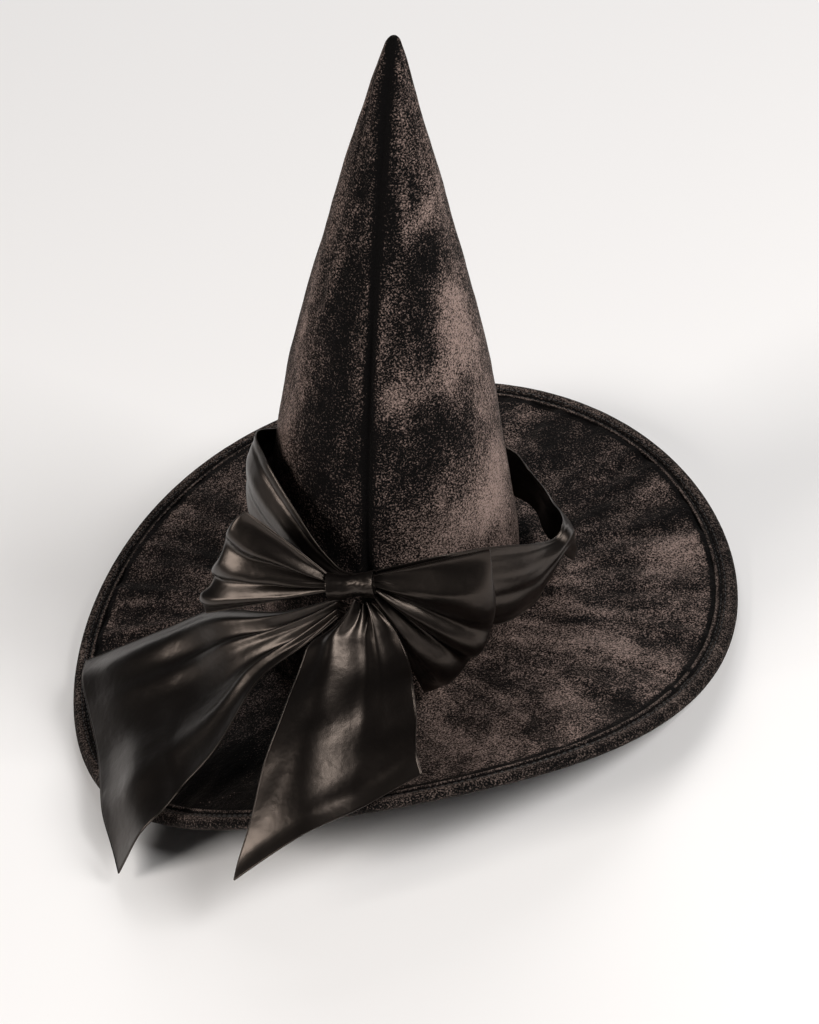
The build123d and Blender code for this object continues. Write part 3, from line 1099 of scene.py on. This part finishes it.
    def build(self) -> None:
        """Builds every satin piece."""
        self.sash()
        self.loop(
            "left_loop", "bow_loop_left", "loop_left", 165.0,
            [(62, 52), (72, 44), (83, 28), (88, 16), (99, 2), (105, -13), (113, -20), (116, -38)],
            (
                Fold(0.16, 0.14, 0.11, 1.5, 3.5), Fold(0.33, 0.32, 0.07, -3.0, -4.5),
                Fold(0.50, 0.48, 0.12, 3.0, 5.0), Fold(0.66, 0.67, 0.06, -3.5, -6.0),
                Fold(0.84, 0.84, 0.11, 3.0, 4.5),
            ),
            0.015, 1.3,
        )
        self.loop(
            "right_loop", "bow_loop_right", "loop_right", 6.0,
            [(90, 13), (88, -6), (85, -30), (78, -50), (69, -64), (55, -78), (38, -91), (26, -95)],
            (
                Fold(0.26, 0.24, 0.20, 1.5, 5.0), Fold(0.46, 0.46, 0.06, -3.0, -2.5),
                Fold(0.58, 0.57, 0.08, 3.0, 4.0), Fold(0.70, 0.70, 0.05, -4.0, -5.0),
                Fold(0.84, 0.84, 0.10, 2.5, 4.0),
            ),
            0.016, 4.1,
        )
        self.tail(
            "left_tail", "bow_tail_left", "tail_left",
            [
                (8, -106, 99), (-45, -84, 72), (-108, -50, 45), (-142, -42, 28), (-176, -36.5, 10),
                (-211, -28.5, -7.5),
            ],
            [
                (4, -117, 93), (-19, -126, 79.5), (-47, -138, 62), (-80, -173, 37.5), (-105, -187, 21.5),
                (-118, -206, 10.5), (-150, -217.3, -24.6),
            ],
            (
                Fold(0.13, 0.11, 0.10, 4.0, 6.5, 0.5), Fold(0.28, 0.24, 0.06, -3.0, -1.0, 0.5),
                Fold(0.40, 0.24, 0.08, 5.0, 3.0, 0.6), Fold(0.60, 0.48, 0.10, -4.0, -1.0, 0.6),
                Fold(0.78, 0.76, 0.10, 4.0, 2.0, 0.8),
            ),
            (Roll(0.86, -0.04, 0.10, 4.0), Roll(0.62, 0.10, 0.12, -3.0), Roll(0.44, -0.12, 0.10, 2.0)),
            2.2, 0.003,
        )
        self.tail(
            "right_tail", "bow_tail_right", "tail_right",
            [
                (14, -113, 98), (1, -124, 91), (-13, -134, 86.8), (-18, -145, 81.8), (-28, -181, 64.3),
                (-38, -211.5, 49.8), (-45, -240, 33.3), (-56.5, -260.6, 7.9),
            ],
            [
                (26, -112, 98), (33.5, -118, 91), (42, -129, 84.8), (51.3, -150, 73.6), (55.3, -170, 63.2),
                (57.7, -195.7, 50.1), (61.5, -211.3, 42),
            ],
            (
                Fold(0.30, 0.36, 0.26, 8.0, 9.0, 0.8), Fold(0.64, 0.66, 0.06, -2.5, 0.0, 0.4),
                Fold(0.76, 0.80, 0.06, 2.5, 0.0, 0.4),
            ),
            (Roll(0.30, 0.10, 0.10, -1.5), Roll(0.95, -0.03, 0.06, 1.5)), 5.7, 0.001,
        )
        self.knot_wrap()


# ---------------------------------------------------------------- inner pieces


@dataclass
class Insides:
    """What holds the hat's shape and finishes its inside; these keep their CAD shapes."""

    def build(self, finishes: dict[str, bpy.types.Material], nodes: dict[str, bpy.types.Object]) -> None:
        """Dresses each CAD node that shows as it is.

        Args:
            finishes: node name to its material.
            nodes: the frame's nodes.
        """
        for name, finish in finishes.items():
            node = nodes[name]
            node.data.materials.clear()
            node.data.materials.append(finish)
            log.info("dressed %s", name)


# ---------------------------------------------------------------- studio


@dataclass
class Studio:
    """A pale floor, soft lights and the camera."""

    floor_level: float
    camera_at: Vector = field(default_factory=lambda: Vector((0.5342, -1.5515, 1.2959)))
    look_at: Vector = field(default_factory=lambda: Vector((0.0152, 0.0429, 0.0466)))
    roll: float = math.radians(-15.44)
    lens: float = 109.1
    room_light: float = 0.05  # what the dim room behind the lamps adds
    room_seen: float = 0.85  # the pale backdrop itself
    lit_reach: float = 1.5  # how far out the lamps light the paper evenly
    dark_from: float = 3.4

    def light(self, name: str, at: tuple[float, float, float], size: float, power: float, tint: str) -> None:
        """Hangs a square soft light that faces the hat."""
        lamp = bpy.data.lights.new(name, "AREA")
        lamp.size = size
        lamp.energy = power
        lamp.color = linear(tint)[:3]
        stand = bpy.data.objects.new(name, lamp)
        stand.location = at
        aim = Vector((0.03, 0, 0.12)) - Vector(at)
        stand.rotation_euler = aim.to_track_quat("-Z", "Y").to_euler()
        bpy.context.scene.collection.objects.link(stand)

    def build(self) -> None:
        """Sets up the floor, the lights and the camera."""
        bm = bmesh.new()
        bmesh.ops.create_grid(bm, x_segments=8, y_segments=8, size=6.0)
        bmesh.ops.translate(bm, verts=bm.verts, vec=(0, 0, self.floor_level))
        paper = bpy.data.materials.new("pale_paper")
        paper.use_nodes = True
        shader = paper.node_tree.nodes["Principled BSDF"]
        shader.inputs["Base Color"].default_value = linear("f2f1f1")
        shader.inputs["Roughness"].default_value = 0.9
        shader.inputs["Specular IOR Level"].default_value = 0.1
        tree = paper.node_tree
        # beyond the lamps' reach the paper is shown as pale as the backdrop it meets
        place = add_node(tree, "ShaderNodeTexCoord").outputs["Object"]
        away = add_node(tree, "ShaderNodeVectorMath", links={0: place}, operation="LENGTH").outputs["Value"]
        glow = add_node(
            tree,
            "ShaderNodeMapRange",
            {"From Min": self.lit_reach, "From Max": self.dark_from, "To Max": self.room_seen},
            {"Value": away},
            interpolation_type="SMOOTHSTEP",
        ).outputs["Result"]
        seen = add_node(tree, "ShaderNodeLightPath").outputs["Is Camera Ray"]
        shown = add_node(tree, "ShaderNodeMath", links={0: glow, 1: seen}, operation="MULTIPLY").outputs[0]
        shader.inputs["Emission Color"].default_value = linear("f4f3f3")
        tree.links.new(shown, shader.inputs["Emission Strength"])
        new_object("floor", bm, paper)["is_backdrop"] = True

        world = bpy.data.worlds.new("studio")
        bpy.context.scene.world = world
        world.use_nodes = True
        tree = world.node_tree
        backdrop = tree.nodes["Background"]
        backdrop.inputs[0].default_value = linear("f4f3f3")
        seen = add_node(tree, "ShaderNodeLightPath").outputs["Is Camera Ray"]
        levels = {"To Min": self.room_light, "To Max": self.room_seen}
        glow = add_node(tree, "ShaderNodeMapRange", levels, {"Value": seen})
        tree.links.new(glow.outputs["Result"], backdrop.inputs["Strength"])
        self.light("key", (2.0, -0.7, 1.7), 1.2, 66.0, "fffdfb")
        self.light("fill", (-2.0, -1.3, 1.6), 1.2, 52.0, "fffaf5")
        self.light("back", (-0.2, 2.9, 1.8), 1.8, 44.0, "ffffff")

        lens = bpy.data.cameras.new("camera")
        lens.lens = self.lens
        lens.sensor_width = 36
        lens.clip_end = 50
        camera = bpy.data.objects.new("camera", lens)
        aim = (self.look_at - self.camera_at).to_track_quat("-Z", "Y")
        camera.location = self.camera_at
        camera.rotation_euler = (aim @ Quaternion((0, 0, 1), self.roll)).to_euler()
        bpy.context.scene.collection.objects.link(camera)
        bpy.context.scene.camera = camera
        bpy.context.scene.view_settings.view_transform = "Standard"


def main() -> None:
    """Builds the hat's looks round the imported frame."""
    logging.basicConfig(level=logging.INFO, format="%(message)s")
    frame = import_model()
    cad_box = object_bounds()
    Studio(floor_level=cad_box[0][2] - 0.0005).build()

    velvet = Velvet().material()
    # the binding's velvet, with a dimmer painted highlight
    edging = Velvet(name="velvet_binding", lit="75665f", clump=0.004).material()
    satin = Satin().material()
    thread = Trim(Weave.THREAD, "0b0a0a", "2a2625", 0.0006, 0.5, 0.0002).material()
    lining = Trim(Weave.LINING, "0c0c0d", "1a191b", 0.0009, 0.42, 0.0002).material()
    foam = Trim(Weave.FOAM, "2c2b2b", "4a4848", 0.0014, 0.9, 0.0006).material()
    grosgrain = Trim(Weave.GROSGRAIN, "0a0a0b", "1c1b1d", 0.0002, 0.55, 0.0003).material()
    nylon = Trim(Weave.NYLON, "b9b6ab", "d2cfc4", 0.004, 0.4, 0.00005).material()
    steel = Trim(Weave.STEEL, "8b8c8e", "a7a8aa", 0.001, 0.35, 0.00003, metallic=1.0).material()

    brim = Brim(velvet, edging, thread)
    brim.build()
    crown = Crown(velvet, brim)
    crown.build()
    Bow(satin, thread, crown).build()
    Insides().build(
        {
            "crown_interlining": foam, "crown_lining": lining, "brim_interlining": foam, "brim_hoop": nylon,
            "brim_hoop_sleeve": steel, "sweatband": grosgrain, "bow_tacks": thread,
            "bow_core": satin,
        },
        frame["nodes"],
    )


if __name__ == "__main__":
    main()
